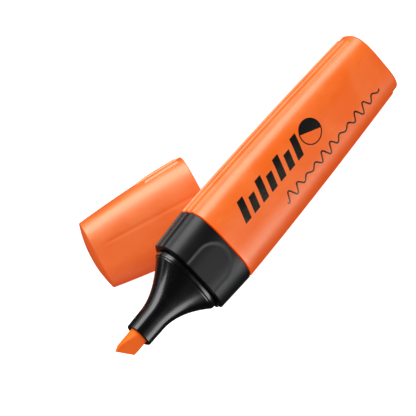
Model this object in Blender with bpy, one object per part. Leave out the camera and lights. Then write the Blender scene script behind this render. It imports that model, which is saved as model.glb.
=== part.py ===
"""Capped flat-oval highlighter, laid out for use: the cap lies flat and the open pen leans across its mouth.

World frame: +Z up from the table, +X along the cap from its closed end to its mouth, origin in the
middle of the cap's lower flat. Pen frame: +X from nib to tail, +Y left, +Z out of the upper broad
face, origin at the centre of the collar's front edge. Metres.
"""

import math

import bpy
import bmesh
import numpy as np
from mathutils import Euler

MM = 0.001

# Fits
GAP = 0.3 * MM  # between two pieces that touch
PRESS_DEPTH = 7.0 * MM  # collar spigot inside the barrel

# Flat-oval section of barrel, collar and cap
LAND = 2.5 * MM  # half-width of the true flat on each broad face
FRONT_POWER = 2.3  # roundness across the broad faces
SIDE_POWER = 3.0  # flatness of the narrow sides
CORNER_POINTS = 5  # points on each rounded quarter

# Smooth oval of nose, core and liner
OVAL_POWER = 2.6
ELLIPSE_POWER = 2.0
OVAL_POINTS = 40
NIB_POINTS = 32
CORE_POINTS = 28

# Crowned ends: (share of the section, share of the crown) and (share of the corner, share of the section)
CROWN_STEPS = ((0.35, 1.0), (0.70, 0.8), (0.90, 0.5))
CORNER_STEPS = ((0.72, 0.965), (0.3, 0.992))
SHARP_ANGLE = math.radians(35)

# Grip ribs: three on each narrow side
RIB_PITCH = 3.0 * MM
RIB_WIDTH = 1.2 * MM
RIB_HEIGHT = 0.4 * MM
RIB_RUN_IN = 0.9 * MM  # length over which a rib's end rises
RIB_PROFILE = ((-0.5, 0.0), (-0.3, 0.85), (0.0, 1.0), (0.3, 0.85), (0.5, 0.0))  # shares of width and height

# Barrel
BARREL_LENGTH = 76.0 * MM
BARREL_HALF_WIDTH = 13.35 * MM
BARREL_HALF_THICK = 8.0 * MM
TAIL_HALF_WIDTH = 10.95 * MM
TAIL_HALF_THICK = 6.6 * MM
BARREL_WALL = 1.3 * MM
TAIL_WALL = 1.8 * MM
TAIL_CROWN = 1.0 * MM
TAIL_CORNER = 1.1 * MM
RIBS_END_BEFORE_TAIL = 3.5 * MM
BARREL_TAPER_POWER = 1.7
BARREL_SECTIONS = 8

# Grip collar
COLLAR_LENGTH = 12.8 * MM
COLLAR_FRONT_INSET = 0.65 * MM
COLLAR_WALL = 0.2125 * BARREL_HALF_THICK
COLLAR_EDGE = 0.35 * MM
SPIGOT_WALL = 1.1 * MM
THUMB_RADIUS = 6.0 * MM
THUMB_CENTRE = 6.0 * MM  # behind the collar's front edge
THUMB_DEPTH = 0.3 * MM
THUMB_ARCH_SHARE = 0.98  # the arch is a little flatter than round
THUMB_COLUMNS = 16

# Nose cone
NOSE_LENGTH = 22.9 * MM
FLARE_START = 2.4 * MM
FLARE_LENGTH = 14.2 * MM
FLARE_POWER = 1.95
NOZZLE_HALF_WIDTH = 4.0 * MM
NOZZLE_HALF_THICK = 3.4 * MM
NOZZLE_FLARE = 0.5 * MM  # extra half-width where the flare runs out
BEAD_OVERLAP = 0.45 * MM  # how far the sealing bead stands over the collar's bore
BEAD_REAR_EASE = 0.3 * MM
BEAD_START = 0.7 * MM
BEAD_END = 1.7 * MM
BEAD_FRONT = 2.1 * MM
BEAD_FRONT_EASE = 0.25 * MM
NOZZLE_EASE = 0.3 * MM
NOSE_SECTIONS = 12
NOSE_SECTION_SPREAD = 1.35  # sections crowd toward the bead
CAVITY_SHARES = (0.8, 0.55, 0.3, 0.1)  # of the way from the collar to the nib's bore
NECK_INSET = 0.5 * MM
SKIRT_LENGTH = 8.5 * MM
SKIRT_WALL = 0.1625 * BARREL_HALF_THICK
NOSE_WALL = 1.1 * MM
NIB_BORE_START = 12.0 * MM  # depth at which the cavity narrows to the nib's bore

# Nib
NIB_HALF_WIDTH = 2.85 * MM
NIB_HALF_THICK = 0.29375 * BARREL_HALF_THICK  # leaves the core a wall round the nib's pocket
NIB_REACH = 8.0 * MM  # high corner of the chisel in front of the nozzle
NIB_TAIL = 8.0 * MM  # behind the collar's front edge
CHISEL_SLANT = math.radians(33.0)
CHISEL_ANGLE = math.radians(18.5)  # each wedge face to the nib's middle plane
CHISEL_EDGE = 0.25 * MM  # half of the blunt edge's thickness
CHISEL_HIGH_CORNER = 2.2 * MM  # how far left of the axis the edge's high corner lies
CORNER_EASE = math.radians(15.0)

# Ink reservoir
CORE_HALF_WIDTH = 7.0 * MM
CORE_START = 1.0 * MM
CORE_TAIL_ROOM = 3.0 * MM
CORE_CHAMFER = 0.5 * MM
NIB_SEAT = 2.0 * MM  # pocket left between the nib's tail and the core
FILM = 0.3 * MM
FILM_INSET = 1.5 * MM

# Cap
CAP_LENGTH = 37.2 * MM
CAP_SWELL_POWER = 1.6
CAP_PLAIN_SECTIONS = 4
CAP_INNER_SHARES = (0.0, 0.3, 0.6, 1.0)
CAP_MOUTH_HALF_WIDTH = 13.65 * MM
CAP_MOUTH_HALF_THICK = 7.9 * MM
CAP_END_HALF_WIDTH = 10.7 * MM
CAP_END_HALF_THICK = 6.4 * MM
CAP_WALL = 1.1 * MM
CAP_END_WALL = 1.6 * MM
CAP_CROWN = 1.0 * MM
CAP_CORNER = 1.0 * MM
CAP_OUTER_RIBS = 13.6 * MM  # length of the two outer ribs from the mouth
CAP_MIDDLE_RIB = 16.0 * MM
CAP_RIBS_BEFORE_MOUTH = 1.2 * MM

# Cap liner: an inner cup that closes round the nozzle
LINER_WALL = 0.8 * MM
LINER_CLEARANCE = 0.6 * MM
LINER_DEPTH = 14.0 * MM
LINER_PLATE = 1.4 * MM

# Layout on the table
PEN_YAW = math.radians(17.8)
PEN_ROLL = math.radians(10.5)
PEN_FROM_MOUTH_X = -17.0 * MM  # collar's front edge from the middle of the cap's mouth
PEN_FROM_MOUTH_Y = -14.7 * MM
LEAN_RANGE = (math.radians(5), math.radians(30))
LEAN_HALVINGS = 40
RIM_STATIONS = 12  # places along the cap where the pen might touch it
RIM_SPACING = 0.04  # of the cap's length

# Finishes: name, colour, roughness
ORANGE_GLOSS = ("orange_gloss", (0.82, 0.155, 0.018), 0.32)
ORANGE_CAP = ("orange_cap", (0.82, 0.155, 0.018), 0.32)
BLACK_SATIN = ("black_satin", (0.012, 0.012, 0.013), 0.45)
BLACK_GLOSS = ("black_gloss", (0.012, 0.012, 0.013), 0.18)
FELT_INK = ("felt_ink", (0.80, 0.12, 0.010), 0.75)
INK_FIBRE = ("ink_fibre", (0.86, 0.30, 0.09), 0.9)
CLEAR_FILM = ("clear_film", (0.88, 0.86, 0.82), 0.25)
LINER_WHITE = ("liner_white", (0.80, 0.80, 0.78), 0.4)


def clear_scene():
    for thing in list(bpy.data.objects):
        bpy.data.objects.remove(thing, do_unlink=True)


def plastic(name, colour, roughness):
    """A Principled material of one finish."""
    material = bpy.data.materials.new(name)
    material.use_nodes = True
    shader = material.node_tree.nodes["Principled BSDF"]
    shader.inputs["Base Color"].default_value = (*colour, 1.0)
    shader.inputs["Roughness"].default_value = roughness
    return material


def rib_heights():
    """Heights on a narrow side where a ribbed section has points, lowest first, with each one's rise."""
    points = []
    for rib in (-1, 0, 1):
        for offset, rise in RIB_PROFILE:
            points.append((rib, rib * RIB_PITCH + offset * RIB_WIDTH, rise))
    return points


def side_y(z, half_width, half_thick):
    """Half-width of the oval at height z."""
    share = 1.0 - (abs(z) / half_thick) ** SIDE_POWER
    return LAND + (half_width - LAND) * share ** (1.0 / FRONT_POWER)


def ribbed_section(half_width, half_thick, rises=(0.0, 0.0, 0.0)):
    """Counter-clockwise (y, z) points of the oval; rises are the lowest, middle and highest rib's heights."""
    side = []
    for rib, z, rise in rib_heights():
        side.append((side_y(z, half_width, half_thick) + rise * rises[rib + 1], z))
    last_z = side[-1][1]
    start = math.asin((last_z / half_thick) ** (SIDE_POWER / 2))
    corner = []
    for step in range(1, CORNER_POINTS + 1):
        angle = start + (math.pi / 2 - start) * step / CORNER_POINTS
        y = LAND + (half_width - LAND) * abs(math.cos(angle)) ** (2 / FRONT_POWER)
        corner.append((y, half_thick * math.sin(angle) ** (2 / SIDE_POWER)))
    right = side + corner
    left = [(-y, z) for y, z in reversed(right)]
    upper = right + left
    under_left = [(-y, -z) for y, z in corner]
    under_right = [(y, -z) for y, z in reversed(corner)]
    return upper + under_left + under_right


def plain_section(half_width, half_thick, power=OVAL_POWER, points=OVAL_POINTS):
    """Counter-clockwise (y, z) points of a smooth oval with no flat."""
    angles = [2 * math.pi * (k + 0.5) / points for k in range(points)]
    ring = []
    for angle in angles:
        c, s = math.cos(angle), math.sin(angle)
        y = math.copysign(half_width * abs(c) ** (2 / power), c)
        z = math.copysign(half_thick * abs(s) ** (2 / power), s)
        ring.append((y, z))
    return ring


def scaled(ring, share):
    return [(share * y, share * z) for y, z in ring]


def skin(name, rings, material, parent, closed=False):
    """One solid through a list of (x, ring) sections; closed joins the last section to the first."""
    bm = bmesh.new()
    loops = [[bm.verts.new((x, y, z)) for y, z in ring] for x, ring in rings]
    pairs = list(zip(loops, loops[1:]))
    if closed:
        pairs.append((loops[-1], loops[0]))
    else:
        bm.faces.new(loops[0])
        bm.faces.new(loops[-1])
    for first, second in pairs:
        count = len(first)
        for k in range(count):
            after = (k + 1) % count
            bm.faces.new((first[k], first[after], second[after], second[k]))
    bmesh.ops.recalc_face_normals(bm, faces=bm.faces)
    return finished(name, bm, material, parent)


def finished(name, bm, material, parent):
    mesh = bpy.data.meshes.new(name)
    bm.to_mesh(mesh)
    bm.free()
    mesh.shade_smooth()
    mesh.set_sharp_from_angle(angle=SHARP_ANGLE)
    piece = bpy.data.objects.new(name, mesh)
    bpy.context.scene.collection.objects.link(piece)
    piece.parent = parent
    piece.data.materials.append(material)
    return piece


def empty(name):
    frame = bpy.data.objects.new(name, None)
    bpy.context.scene.collection.objects.link(frame)
    return frame


def domed_end(x_edge, outward, ring, crown, corner):
    """Sections from the middle of a crowned end to its rounded edge; x_edge is where the side starts."""
    end = [(x_edge + outward * (corner + crown * rise), scaled(ring, share)) for share, rise in CROWN_STEPS]
    end += [(x_edge + outward * corner * reach, scaled(ring, share)) for reach, share in CORNER_STEPS]
    return end


# Barrel -----------------------------------------------------------------------------------------

BARREL_START = COLLAR_LENGTH + GAP
BARREL_EDGE = BARREL_START + BARREL_LENGTH - TAIL_CORNER - TAIL_CROWN
RIBS_STOP = BARREL_START + BARREL_LENGTH - RIBS_END_BEFORE_TAIL


def barrel_size(x):
    """Half-width and half-thickness of the barrel's outside at x."""
    share = max(0.0, (x - BARREL_START) / (BARREL_EDGE - BARREL_START))
    half_width = BARREL_HALF_WIDTH - (BARREL_HALF_WIDTH - TAIL_HALF_WIDTH) * share**BARREL_TAPER_POWER
    half_thick = BARREL_HALF_THICK - (BARREL_HALF_THICK - TAIL_HALF_THICK) * share
    return half_width, half_thick


def make_barrel(frame):
    full = (RIB_HEIGHT,) * 3
    outer = []
    for step in range(BARREL_SECTIONS):
        x = BARREL_START + (RIBS_STOP - RIB_RUN_IN - BARREL_START) * step / (BARREL_SECTIONS - 1)
        outer.append((x, ribbed_section(*barrel_size(x), full)))
    outer.append((RIBS_STOP, ribbed_section(*barrel_size(RIBS_STOP))))
    edge = ribbed_section(*barrel_size(BARREL_EDGE))
    outer.append((BARREL_EDGE, edge))
    tail = domed_end(BARREL_EDGE, 1, edge, TAIL_CROWN, TAIL_CORNER)
    floor = BARREL_EDGE + TAIL_CORNER - TAIL_WALL
    inner = []
    for x in (floor, (floor + BARREL_START) / 2, BARREL_START):
        half_width, half_thick = barrel_size(x)
        inner.append((x, ribbed_section(half_width - BARREL_WALL, half_thick - BARREL_WALL)))
    rings = tail + outer[::-1] + inner[::-1]
    return skin("barrel", rings, plastic(*ORANGE_GLOSS), frame)


# Grip collar ------------------------------------------------------------------------------------

COLLAR_FRONT_WIDTH = BARREL_HALF_WIDTH - COLLAR_FRONT_INSET
COLLAR_FRONT_THICK = BARREL_HALF_THICK - COLLAR_FRONT_INSET / 2
BORE_HALF_WIDTH = COLLAR_FRONT_WIDTH - COLLAR_WALL
BORE_HALF_THICK = COLLAR_FRONT_THICK - COLLAR_WALL
SPIGOT_HALF_WIDTH = barrel_size(BARREL_START + PRESS_DEPTH)[0] - BARREL_WALL - GAP
SPIGOT_HALF_THICK = barrel_size(BARREL_START + PRESS_DEPTH)[1] - BARREL_WALL - GAP
BORE_STEP = SKIRT_LENGTH + GAP


def thumb_cutter(side, frame):
    """Arch-ended block over one broad face, its inner face parallel to the collar's surface."""
    bm = bmesh.new()
    rings = []
    for step in range(THUMB_COLUMNS + 1):
        y = THUMB_RADIUS * math.sin(math.pi * (step / THUMB_COLUMNS - 0.5))
        far = THUMB_CENTRE + math.sqrt(max(0.0, THUMB_RADIUS**2 - y**2)) * THUMB_ARCH_SHARE
        share = (max(0.0, abs(y) - LAND) / (COLLAR_FRONT_WIDTH - LAND)) ** FRONT_POWER
        surface = COLLAR_FRONT_THICK * (1 - share) ** (1 / SIDE_POWER)
        low = side * (surface - THUMB_DEPTH)
        high = side * (surface + 2 * THUMB_DEPTH)
        corners = ((-THUMB_DEPTH, low), (far, low), (far, high), (-THUMB_DEPTH, high))
        rings.append([bm.verts.new((x, y, z)) for x, z in corners])
    for first, second in zip(rings, rings[1:]):
        for k in range(4):
            after = (k + 1) % 4
            bm.faces.new((first[k], first[after], second[after], second[k]))
    bm.faces.new(rings[0])
    bm.faces.new(rings[-1])
    bmesh.ops.recalc_face_normals(bm, faces=bm.faces)
    cutter = finished(f"thumb_cutter_{side}", bm, plastic(*BLACK_SATIN), frame)
    cutter.hide_render = True
    cutter.display_type = "WIRE"
    return cutter


def make_collar(frame):
    ribs = (RIB_HEIGHT,) * 3
    front = ribbed_section(COLLAR_FRONT_WIDTH, COLLAR_FRONT_THICK, ribs)
    rear = ribbed_section(BARREL_HALF_WIDTH, BARREL_HALF_THICK, ribs)
    spigot = ribbed_section(SPIGOT_HALF_WIDTH, SPIGOT_HALF_THICK)
    spigot_bore = ribbed_section(SPIGOT_HALF_WIDTH - SPIGOT_WALL, SPIGOT_HALF_THICK - SPIGOT_WALL)
    bore = ribbed_section(BORE_HALF_WIDTH, BORE_HALF_THICK)
    chamfer = 1 - COLLAR_EDGE / BARREL_HALF_WIDTH
    end = COLLAR_LENGTH + GAP + PRESS_DEPTH
    rings = [
        (0.0, scaled(front, chamfer)),
        (COLLAR_EDGE, front),
        (COLLAR_LENGTH, rear),
        (COLLAR_LENGTH, spigot),
        (end, spigot),
        (end, spigot_bore),
        (BORE_STEP, spigot_bore),
        (BORE_STEP, bore),
        (0.0, bore),
    ]
    collar = skin("grip_collar", rings, plastic(*BLACK_SATIN), frame, closed=True)
    for side in (1, -1):
        cut = collar.modifiers.new(f"thumb_{side}", "BOOLEAN")
        cut.operation = "DIFFERENCE"
        cut.object = thumb_cutter(side, frame)
    return collar


# Nose cone --------------------------------------------------------------------------------------


def nose_size(depth):
    """Half-width and half-thickness of the nose's outside at a depth in front of the collar."""
    share = min(1.0, max(0.0, (depth - FLARE_START) / FLARE_LENGTH))
    flare = (1 - share) ** FLARE_POWER
    shoulder_width = BORE_HALF_WIDTH + BEAD_OVERLAP - NECK_INSET
    shoulder_thick = BORE_HALF_THICK + BEAD_OVERLAP - NECK_INSET
    run_out = NOZZLE_FLARE * max(0.0, 1 - depth / NOSE_LENGTH)
    half_width = NOZZLE_HALF_WIDTH + run_out + (shoulder_width - NOZZLE_HALF_WIDTH - run_out) * flare
    half_thick = NOZZLE_HALF_THICK + run_out + (shoulder_thick - NOZZLE_HALF_THICK - run_out) * flare
    return half_width, half_thick


def make_nose(frame):
    bead_width = BORE_HALF_WIDTH + BEAD_OVERLAP
    bead_thick = BORE_HALF_THICK + BEAD_OVERLAP
    skirt_width = BORE_HALF_WIDTH - GAP
    skirt_thick = BORE_HALF_THICK - GAP
    bore_width = NIB_HALF_WIDTH + GAP
    bore_thick = NIB_HALF_THICK + GAP
    rings = [
        (SKIRT_LENGTH, plain_section(skirt_width, skirt_thick)),
        (-GAP, plain_section(skirt_width, skirt_thick)),
        (-GAP, plain_section(bead_width - BEAD_REAR_EASE, bead_thick - BEAD_REAR_EASE)),
        (-BEAD_START, plain_section(bead_width, bead_thick)),
        (-BEAD_END, plain_section(bead_width, bead_thick)),
        (-BEAD_FRONT, plain_section(bead_width - BEAD_FRONT_EASE, bead_thick - BEAD_FRONT_EASE)),
    ]
    for step in range(NOSE_SECTIONS):
        share = (step / (NOSE_SECTIONS - 1)) ** NOSE_SECTION_SPREAD
        depth = FLARE_START + (NOSE_LENGTH - NOZZLE_EASE - FLARE_START) * share
        rings.append((-depth, plain_section(*nose_size(depth))))
    nozzle = plain_section(NOZZLE_HALF_WIDTH - NOZZLE_EASE, NOZZLE_HALF_THICK - NOZZLE_EASE)
    rings.append((-NOSE_LENGTH, nozzle))
    bore = plain_section(bore_width, bore_thick, power=ELLIPSE_POWER)
    rings.append((-NOSE_LENGTH, bore))
    rings.append((-NIB_BORE_START, bore))
    for share in CAVITY_SHARES:
        depth = NIB_BORE_START * share
        half_width, half_thick = nose_size(depth)
        half_width = min(half_width - NOSE_WALL, skirt_width - SKIRT_WALL)
        half_thick = min(half_thick - NOSE_WALL, skirt_thick - SKIRT_WALL)
        rings.append((-depth, plain_section(half_width, half_thick)))
    cavity = plain_section(skirt_width - SKIRT_WALL, skirt_thick - SKIRT_WALL)
    rings.append((0.0, cavity))
    rings.append((SKIRT_LENGTH, cavity))
    return skin("nose_cone", rings, plastic(*BLACK_GLOSS), frame, closed=True)


# Nib --------------------------------------------------------------------------------------------


def trimmed(bm, point, outward):
    """Cuts away what lies beyond a plane and closes the cut."""
    geometry = bm.verts[:] + bm.edges[:] + bm.faces[:]
    cut = bmesh.ops.bisect_plane(bm, geom=geometry, plane_co=point, plane_no=outward, clear_outer=True)
    rim = [item for item in cut["geom_cut"] if isinstance(item, bmesh.types.BMEdge)]
    bmesh.ops.contextual_create(bm, geom=rim)


def make_nib(frame):
    """Oval felt rod, its end ground to a slanted wedge with a blunt edge and one eased corner."""
    tip_x = -NOSE_LENGTH - NIB_REACH
    away = (-math.cos(CHISEL_SLANT), -math.sin(CHISEL_SLANT))  # out of the edge, in x and y
    tip = (tip_x, CHISEL_HIGH_CORNER)
    bm = bmesh.new()
    section = plain_section(NIB_HALF_WIDTH, NIB_HALF_THICK, power=ELLIPSE_POWER, points=NIB_POINTS)
    near = [bm.verts.new((NIB_TAIL, y, z)) for y, z in section]
    far = [bm.verts.new((tip_x - NIB_HALF_WIDTH, y, z)) for y, z in section]
    bm.faces.new(near)
    bm.faces.new(far)
    for k in range(len(section)):
        after = (k + 1) % len(section)
        bm.faces.new((near[k], near[after], far[after], far[k]))
    bmesh.ops.recalc_face_normals(bm, faces=bm.faces)
    for side in (1, -1):
        rise = (away[0] * math.sin(CHISEL_ANGLE), away[1] * math.sin(CHISEL_ANGLE))
        normal = (rise[0], rise[1], side * math.cos(CHISEL_ANGLE))
        trimmed(bm, (*tip, side * CHISEL_EDGE), normal)
    trimmed(bm, (*tip, 0.0), (*away, 0.0))
    eased = (-math.sin(CORNER_EASE), math.cos(CORNER_EASE), 0.0)
    trimmed(bm, (*tip, 0.0), eased)
    bmesh.ops.recalc_face_normals(bm, faces=bm.faces)
    return finished("nib", bm, plastic(*FELT_INK), frame)


# Ink reservoir ----------------------------------------------------------------------------------

CORE_HALF_THICK = BORE_HALF_THICK - GAP - SKIRT_WALL - GAP - FILM - GAP
CORE_END = BARREL_EDGE + TAIL_CORNER - TAIL_WALL - CORE_TAIL_ROOM


def make_reservoir(frame):
    """Fibre rod with a pocket for the nib's tail, and the film wrapped round it."""
    body = plain_section(CORE_HALF_WIDTH, CORE_HALF_THICK, points=CORE_POINTS)
    end_size = (CORE_HALF_WIDTH - CORE_CHAMFER, CORE_HALF_THICK - CORE_CHAMFER)
    ends = plain_section(*end_size, points=CORE_POINTS)
    pocket_size = (NIB_HALF_WIDTH + GAP, NIB_HALF_THICK + GAP)
    pocket = plain_section(*pocket_size, power=ELLIPSE_POWER, points=CORE_POINTS)
    floor = NIB_TAIL + NIB_SEAT
    rings = [
        (CORE_END, ends),
        (CORE_END - CORE_CHAMFER, body),
        (CORE_START + CORE_CHAMFER, body),
        (CORE_START, ends),
        (CORE_START, pocket),
        (floor, pocket),
    ]
    skin("reservoir_core", rings, plastic(*INK_FIBRE), frame)
    inner = (CORE_HALF_WIDTH + GAP, CORE_HALF_THICK + GAP)
    outer = (inner[0] + FILM, inner[1] + FILM)
    start = CORE_START + FILM_INSET
    end = CORE_END - FILM_INSET
    rings = [
        (start, plain_section(*outer, points=CORE_POINTS)),
        (end, plain_section(*outer, points=CORE_POINTS)),
        (end, plain_section(*inner, points=CORE_POINTS)),
        (start, plain_section(*inner, points=CORE_POINTS)),
    ]
    skin("reservoir_wrap", rings, plastic(*CLEAR_FILM), frame, closed=True)


# Cap --------------------------------------------------------------------------------------------

CAP_EDGE = CAP_CROWN + CAP_CORNER


def cap_size(x):
    """Half-width and half-thickness of the cap's outside at x from its closed end."""
    share = max(0.0, (x - CAP_EDGE) / (CAP_LENGTH - CAP_EDGE))
    swell = 1 - (1 - share) ** CAP_SWELL_POWER
    half_width = CAP_END_HALF_WIDTH + (CAP_MOUTH_HALF_WIDTH - CAP_END_HALF_WIDTH) * swell
    half_thick = CAP_END_HALF_THICK + (CAP_MOUTH_HALF_THICK - CAP_END_HALF_THICK) * share
    return half_width, half_thick


def make_cap(frame):
    middle_start = CAP_LENGTH - CAP_MIDDLE_RIB
    outer_start = CAP_LENGTH - CAP_OUTER_RIBS
    ribs_stop = CAP_LENGTH - CAP_RIBS_BEFORE_MOUTH
    none = (0.0,) * 3
    middle = (0.0, RIB_HEIGHT, 0.0)
    full = (RIB_HEIGHT,) * 3
    sides = [(CAP_EDGE, none)]
    for step in range(1, CAP_PLAIN_SECTIONS):
        sides.append((CAP_EDGE + (middle_start - CAP_EDGE) * step / CAP_PLAIN_SECTIONS, none))
    sides += [
        (middle_start, none),
        (middle_start + RIB_RUN_IN, middle),
        (outer_start, middle),
        (outer_start + RIB_RUN_IN, full),
        ((outer_start + ribs_stop) / 2, full),
        (ribs_stop - RIB_RUN_IN, full),
        (ribs_stop, none),
        (CAP_LENGTH, none),
    ]
    outer = [(x, ribbed_section(*cap_size(x), rises)) for x, rises in sides]
    edge = ribbed_section(*cap_size(CAP_EDGE))
    closed_end = domed_end(CAP_EDGE, -1, edge, CAP_CROWN, CAP_CORNER)
    floor = CAP_CROWN + CAP_END_WALL
    inner = []
    for share in CAP_INNER_SHARES:
        x = floor + (CAP_LENGTH - floor) * share
        half_width, half_thick = cap_size(x)
        inner.append((x, ribbed_section(half_width - CAP_WALL, half_thick - CAP_WALL)))
    rings = closed_end + outer + inner[::-1]
    skin("cap_shell", rings, plastic(*ORANGE_CAP), frame)

    plate_start = floor + GAP
    half_width, half_thick = cap_size(plate_start)
    plate = plain_section(half_width - CAP_WALL - 2 * GAP, half_thick - CAP_WALL - 2 * GAP)
    bore = (NOZZLE_HALF_WIDTH + LINER_CLEARANCE, NOZZLE_HALF_THICK + LINER_CLEARANCE / 2)
    cup = plain_section(bore[0] + LINER_WALL, bore[1] + LINER_WALL)
    plate_end = plate_start + LINER_PLATE
    rim = plate_start + LINER_DEPTH
    rings = [
        (plate_start, plate),
        (plate_end, plate),
        (plate_end, cup),
        (rim, cup),
        (rim, plain_section(*bore)),
        (plate_end, plain_section(*bore)),
    ]
    skin("cap_liner", rings, plastic(*LINER_WHITE), frame)


# Layout -----------------------------------------------------------------------------------------


def turn(roll, lean, yaw):
    """Rotation matrix of the pen frame: roll about its own axis, lean of the tail down, yaw on the table."""
    return np.array(Euler((roll, lean, yaw)).to_matrix())


def place_cap(frame):
    """Lays the cap on its lower flat, the flat's middle at the world origin."""
    rise = math.atan2(CAP_MOUTH_HALF_THICK - CAP_END_HALF_THICK, CAP_LENGTH - CAP_EDGE)
    middle = (CAP_LENGTH + CAP_EDGE) / 2
    half_thick = cap_size(middle)[1]
    frame.rotation_euler = (0.0, -rise, 0.0)
    x = -middle * math.cos(rise) - half_thick * math.sin(rise)
    z = half_thick * math.cos(rise) - middle * math.sin(rise)
    frame.location = (x, 0.0, z)
    mouth_x = x + CAP_LENGTH * math.cos(rise)
    return rise, frame.location.copy(), mouth_x


def pen_height(tail, rotation):
    """Height of the pen frame that puts the tail's lowest point on the table."""
    return -(tail @ rotation.T)[:, 2].min()


def rest_pen(frame, cap_rise, cap_place, mouth_x):
    """Leans the pen until its underside is one gap above the cap's mouth rim, its tail on the table."""
    ring = ribbed_section(*barrel_size(BARREL_EDGE))
    ends = domed_end(BARREL_EDGE, 1, ring, TAIL_CROWN, TAIL_CORNER) + [(BARREL_EDGE, ring)]
    tail = np.array([(x, y, z) for x, section in ends for y, z in section])
    cap_turn = turn(0.0, -cap_rise, 0.0)
    rims = []
    ribs = (RIB_HEIGHT,) * 3
    for step in range(RIM_STATIONS):
        x = CAP_LENGTH * (1 - RIM_SPACING * step)
        rims += [(x, y, z) for y, z in ribbed_section(*cap_size(x), ribs) if z > 0]
    rims = np.array(rims) @ cap_turn.T + np.array(cap_place)
    low, high = LEAN_RANGE
    for _ in range(LEAN_HALVINGS):
        lean = (low + high) / 2
        rotation = turn(PEN_ROLL, lean, PEN_YAW)
        place = np.array([mouth_x + PEN_FROM_MOUTH_X, PEN_FROM_MOUTH_Y, pen_height(tail, rotation)])
        local = (rims - place) @ rotation
        clearance = []
        for x, y, z in local:
            half_width, half_thick = barrel_size(x)
            inside = 0 < x < BARREL_EDGE and abs(y) < half_width
            if inside:
                share = (max(0.0, abs(y) - LAND) / (half_width - LAND)) ** FRONT_POWER
                clearance.append(-half_thick * (1 - share) ** (1 / SIDE_POWER) - z)
        if min(clearance) < GAP:
            low = lean
        else:
            high = lean
    frame.rotation_euler = (PEN_ROLL, high, PEN_YAW)
    frame.location = place


clear_scene()
pen_frame = empty("pen_frame")
cap_frame = empty("cap_frame")
make_barrel(pen_frame)
make_collar(pen_frame)
make_nose(pen_frame)
make_nib(pen_frame)
make_reservoir(pen_frame)
make_cap(cap_frame)
rest_pen(pen_frame, *place_cap(cap_frame))
bpy.context.view_layer.update()
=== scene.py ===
import math

import bpy
import numpy as np
from mathutils import Euler, Matrix, Vector


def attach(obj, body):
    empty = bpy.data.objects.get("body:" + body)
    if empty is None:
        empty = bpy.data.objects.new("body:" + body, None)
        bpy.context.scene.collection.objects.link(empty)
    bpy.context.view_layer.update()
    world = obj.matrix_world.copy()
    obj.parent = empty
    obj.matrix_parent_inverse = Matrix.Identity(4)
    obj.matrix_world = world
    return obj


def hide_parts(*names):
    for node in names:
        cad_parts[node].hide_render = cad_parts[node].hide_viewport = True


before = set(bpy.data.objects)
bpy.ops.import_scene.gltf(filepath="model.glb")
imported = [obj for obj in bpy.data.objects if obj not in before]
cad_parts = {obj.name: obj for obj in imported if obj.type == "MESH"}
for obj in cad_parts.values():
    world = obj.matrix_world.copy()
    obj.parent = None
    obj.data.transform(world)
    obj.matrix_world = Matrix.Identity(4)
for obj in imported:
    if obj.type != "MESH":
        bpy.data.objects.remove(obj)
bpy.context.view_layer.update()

# Ink reservoir ------------------------------------------------------------------------------------
# A rod of crimped polyester fibre, wet with ink, in a sleeve of clear film. Both lie inside the
# barrel and are kept as the frame has them, with the bundle's streaks running along the pen.

MM = 0.001
PEN_PLACE = Vector((0.28, -14.7, 28.169)) * MM  # centre of the collar's front edge
PEN_TURN = Euler((math.radians(10.5), math.radians(14.0392), math.radians(17.8)))
INK = (0.78, 0.105, 0.006, 1.0)
DRY_FIBRE = (0.88, 0.42, 0.17, 1.0)
FILM = (0.86, 0.84, 0.79, 1.0)
FIBRE_DRAW = (0.12, 1.0, 1.0)  # the streaks' noise is drawn out eight to one along x
STREAK_RANGE = (0.32, 0.68)
PORE_RANGE = (0.25, 0.05)
PORE_DEPTH = 0.6  # against the height of the streaks
CORE_FIBRE = 3.5
CORE_RELIEF = 0.06 * MM
FILM_WRINKLE = 0.35
FILM_RELIEF = 0.2 * MM


def wire(tree, kind, inputs=None, **settings):
    """A node of one kind with its settings; a socket given as an input is linked and a value is set."""
    made = tree.nodes.new(kind)
    for name, value in settings.items():
        setattr(made, name, value)
    for name, value in (inputs or {}).items():
        if isinstance(value, bpy.types.NodeSocket):
            tree.links.new(value, made.inputs[name])
        else:
            made.inputs[name].default_value = value
    return made


def sum_of(tree, operation, first, second=0.0, third=0.0):
    """A Math node's result on up to three sockets or numbers."""
    return wire(tree, "ShaderNodeMath", {0: first, 1: second, 2: third}, operation=operation).outputs[0]


def ramp(tree, value, low, high):
    """0 below low, 1 above high and a smooth rise between."""
    limits = {"Value": value, "From Min": low, "From Max": high}
    return wire(tree, "ShaderNodeMapRange", limits, interpolation_type="SMOOTHSTEP").outputs["Result"]


def blend_of(tree, share, first, second):
    """Colour first where share is 0 and second where it is 1."""
    made = wire(tree, "ShaderNodeMix", {0: share, 6: first, 7: second}, data_type="RGBA")
    return made.outputs[2]


def laid_out(tree, place, turn):
    """Object coordinates brought into a piece's own frame and counted in millimetres."""
    where = wire(tree, "ShaderNodeTexCoord").outputs["Object"]
    frame_inputs = {"Vector": where, "Location": place, "Rotation": turn, "Scale": (MM, MM, MM)}
    return wire(tree, "ShaderNodeMapping", frame_inputs, vector_type="TEXTURE").outputs["Vector"]


def finish_of(name, **shader_values):
    """A new Principled material with its even values set, as (material, tree, shader)."""
    material = bpy.data.materials.new(name)
    material.use_nodes = True
    shader = material.node_tree.nodes["Principled BSDF"]
    for socket, value in shader_values.items():
        shader.inputs[socket.replace("_", " ")].default_value = value
    return material, material.node_tree, shader


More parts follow.
